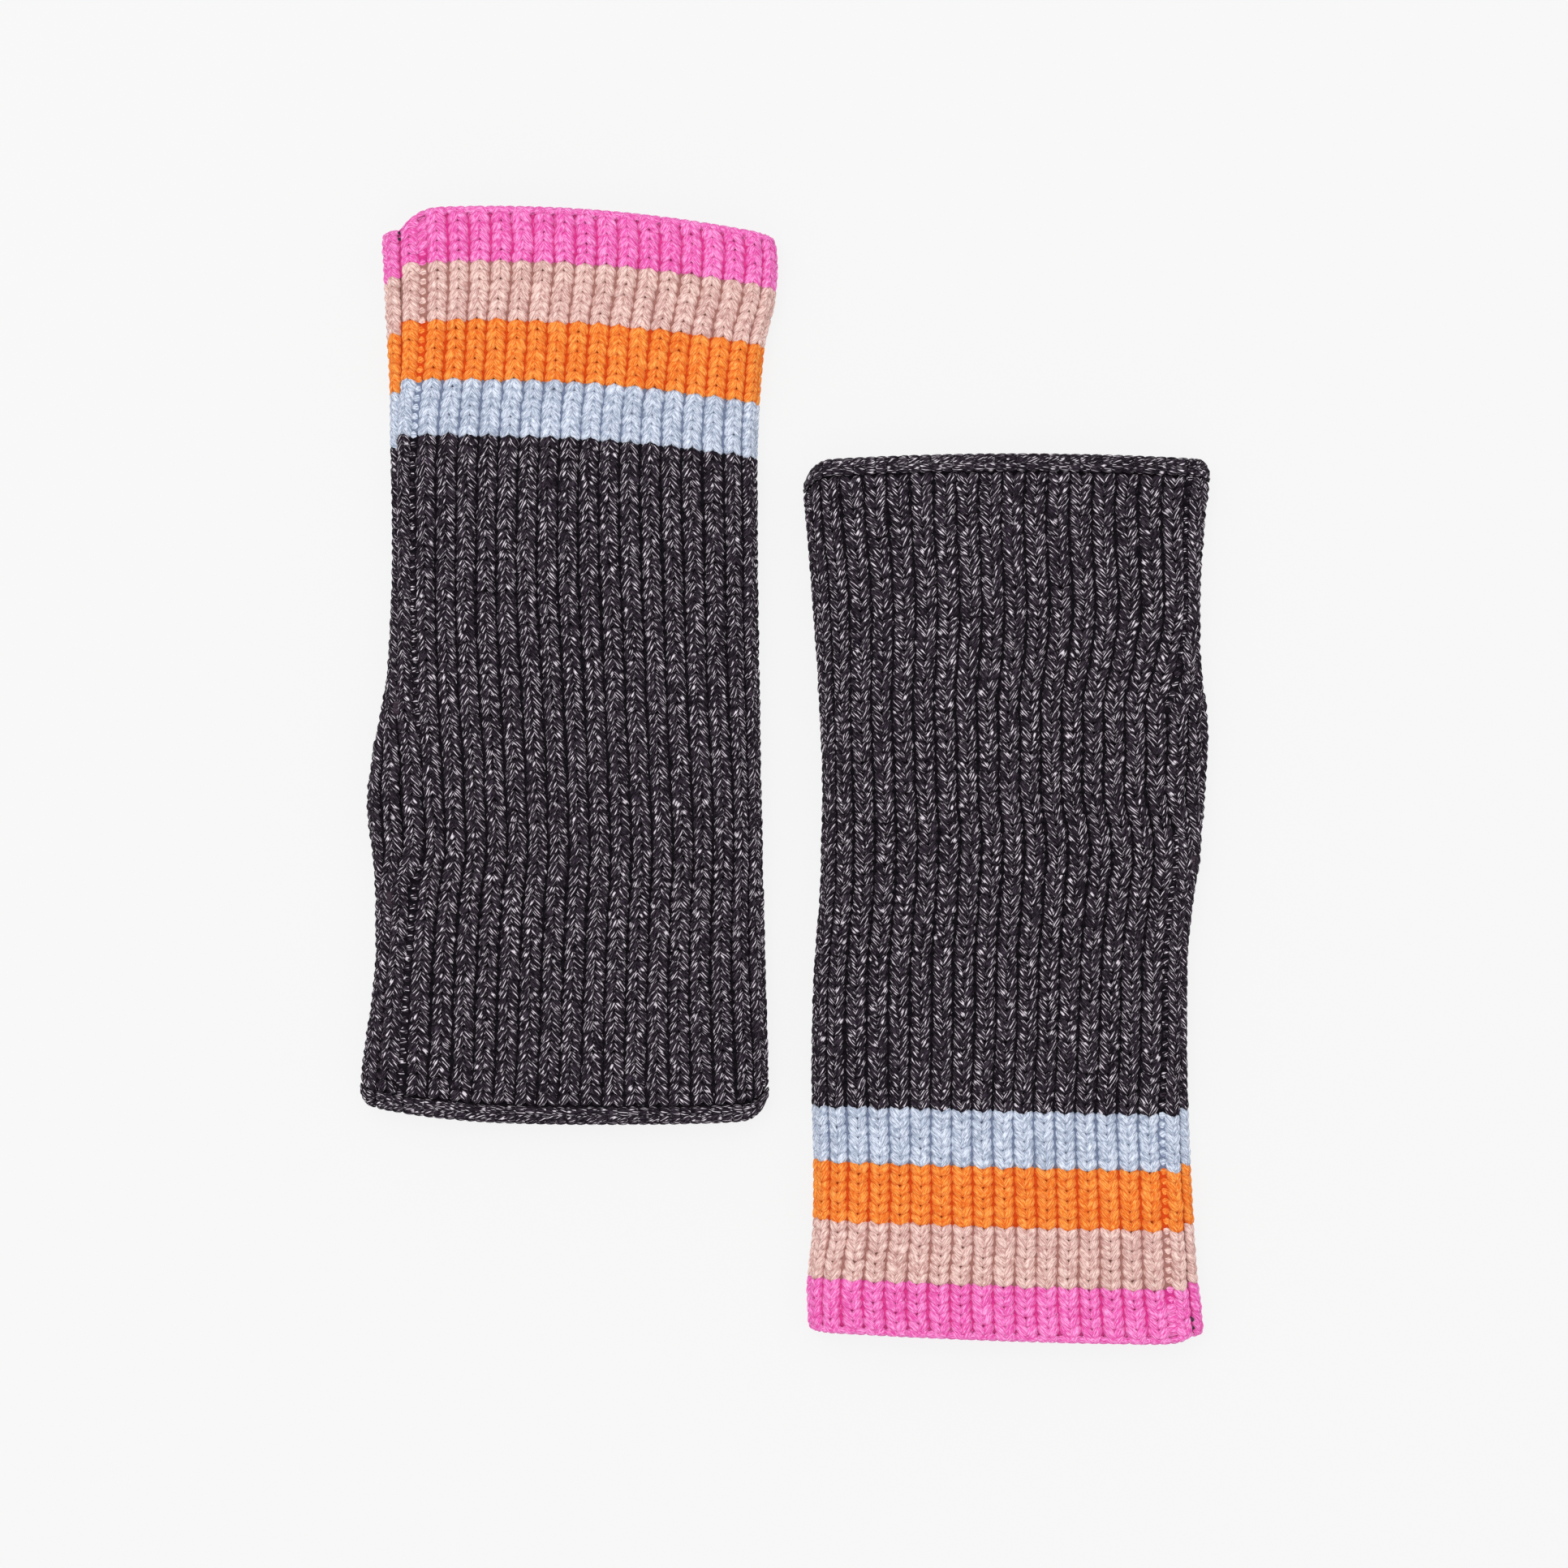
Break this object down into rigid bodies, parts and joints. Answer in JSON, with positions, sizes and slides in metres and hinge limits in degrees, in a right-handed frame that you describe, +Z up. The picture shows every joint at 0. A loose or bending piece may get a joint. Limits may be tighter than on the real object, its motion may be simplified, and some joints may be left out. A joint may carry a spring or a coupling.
{
  "type": "fingerless gloves",
  "caption": "Pair of fingerless gloves lying flat, knitted in rib with striped cuffs, sewn along the thumb side around an open thumb slit; the cuffs fold back over the hand.",
  "frame": {"origin": "centre of the pair's base, on the surface it lies on", "axes": "+Y along the gloves, towards the left glove's cuff; +X towards the right glove; +Z up"},
  "size_m": [0.2094, 0.2806, 0.012],
  "materials": {
    "charcoal_yarn": "plied charcoal heather wool with light grey flecks, matt",
    "light_blue_yarn": "plied pale blue-grey wool, matt",
    "orange_yarn": "plied orange wool, matt",
    "sand_yarn": "plied pinkish sand wool, matt",
    "pink_yarn": "plied bright pink wool, matt",
    "sewing_yarn": "dark charcoal wool sewing yarn, matt"
  },
  "bodies": {
    "left_hand": {"left_hand_panel": "charcoal_yarn", "left_finger_edge": "charcoal_yarn", "left_wrist_seam": "sewing_yarn", "left_thumb_tack_wrist": "sewing_yarn", "left_thumb_tack_fingers": "sewing_yarn", "left_finger_seam": "sewing_yarn"},
    "left_cuff": {"left_wrist_edge": "pink_yarn", "left_pink_band": "pink_yarn", "left_sand_band": "sand_yarn", "left_orange_band": "orange_yarn", "left_light_blue_band": "light_blue_yarn", "left_cuff_seam": "sewing_yarn"},
    "right_hand": {"right_hand_panel": "charcoal_yarn", "right_finger_edge": "charcoal_yarn", "right_wrist_seam": "sewing_yarn", "right_thumb_tack_wrist": "sewing_yarn", "right_thumb_tack_fingers": "sewing_yarn", "right_finger_seam": "sewing_yarn"},
    "right_cuff": {"right_wrist_edge": "pink_yarn", "right_pink_band": "pink_yarn", "right_sand_band": "sand_yarn", "right_orange_band": "orange_yarn", "right_light_blue_band": "light_blue_yarn", "right_cuff_seam": "sewing_yarn"}
  },
  "joints": [
    {"name": "left_cuff_fold", "type": "hinge", "parent": "left_hand", "child": "left_cuff", "pos_m": [-0.052, 0.0832, 0.0125], "axis": [1, 0, 0], "range_deg": [0, 175]},
    {"name": "right_glove_slide", "type": "slide", "parent": "left_hand", "child": "right_hand", "axis": [1, 0, 0], "range_m": [0, 0.15]},
    {"name": "right_cuff_fold", "type": "hinge", "parent": "right_hand", "child": "right_cuff", "pos_m": [0.054, -0.083, 0.0125], "axis": [-1, 0, 0], "range_deg": [0, 175]}
  ]
}
